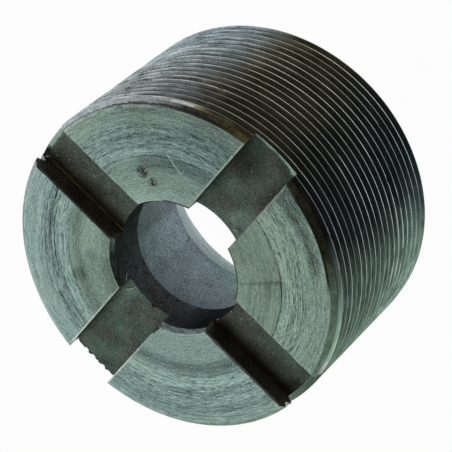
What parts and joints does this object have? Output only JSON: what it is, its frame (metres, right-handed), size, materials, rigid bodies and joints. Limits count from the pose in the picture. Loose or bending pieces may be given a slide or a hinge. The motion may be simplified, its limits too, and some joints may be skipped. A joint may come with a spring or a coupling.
{
  "type": "threaded bushing",
  "caption": "Short steel bushing with a fine thread outside, a stepped through bore and crossed driving slots milled in its face.",
  "frame": {"origin": "centre of the plain rear end, on the surface it stands on", "axes": "+Z along the bushing's axis towards the slotted face, +X and +Y along the two slots"},
  "size_m": [0.0328, 0.0328, 0.02],
  "materials": {
    "machined_steel": "machined, oiled"
  },
  "bodies": {
    "root": {"threaded_bushing": "machined_steel"}
  },
  "joints": []
}
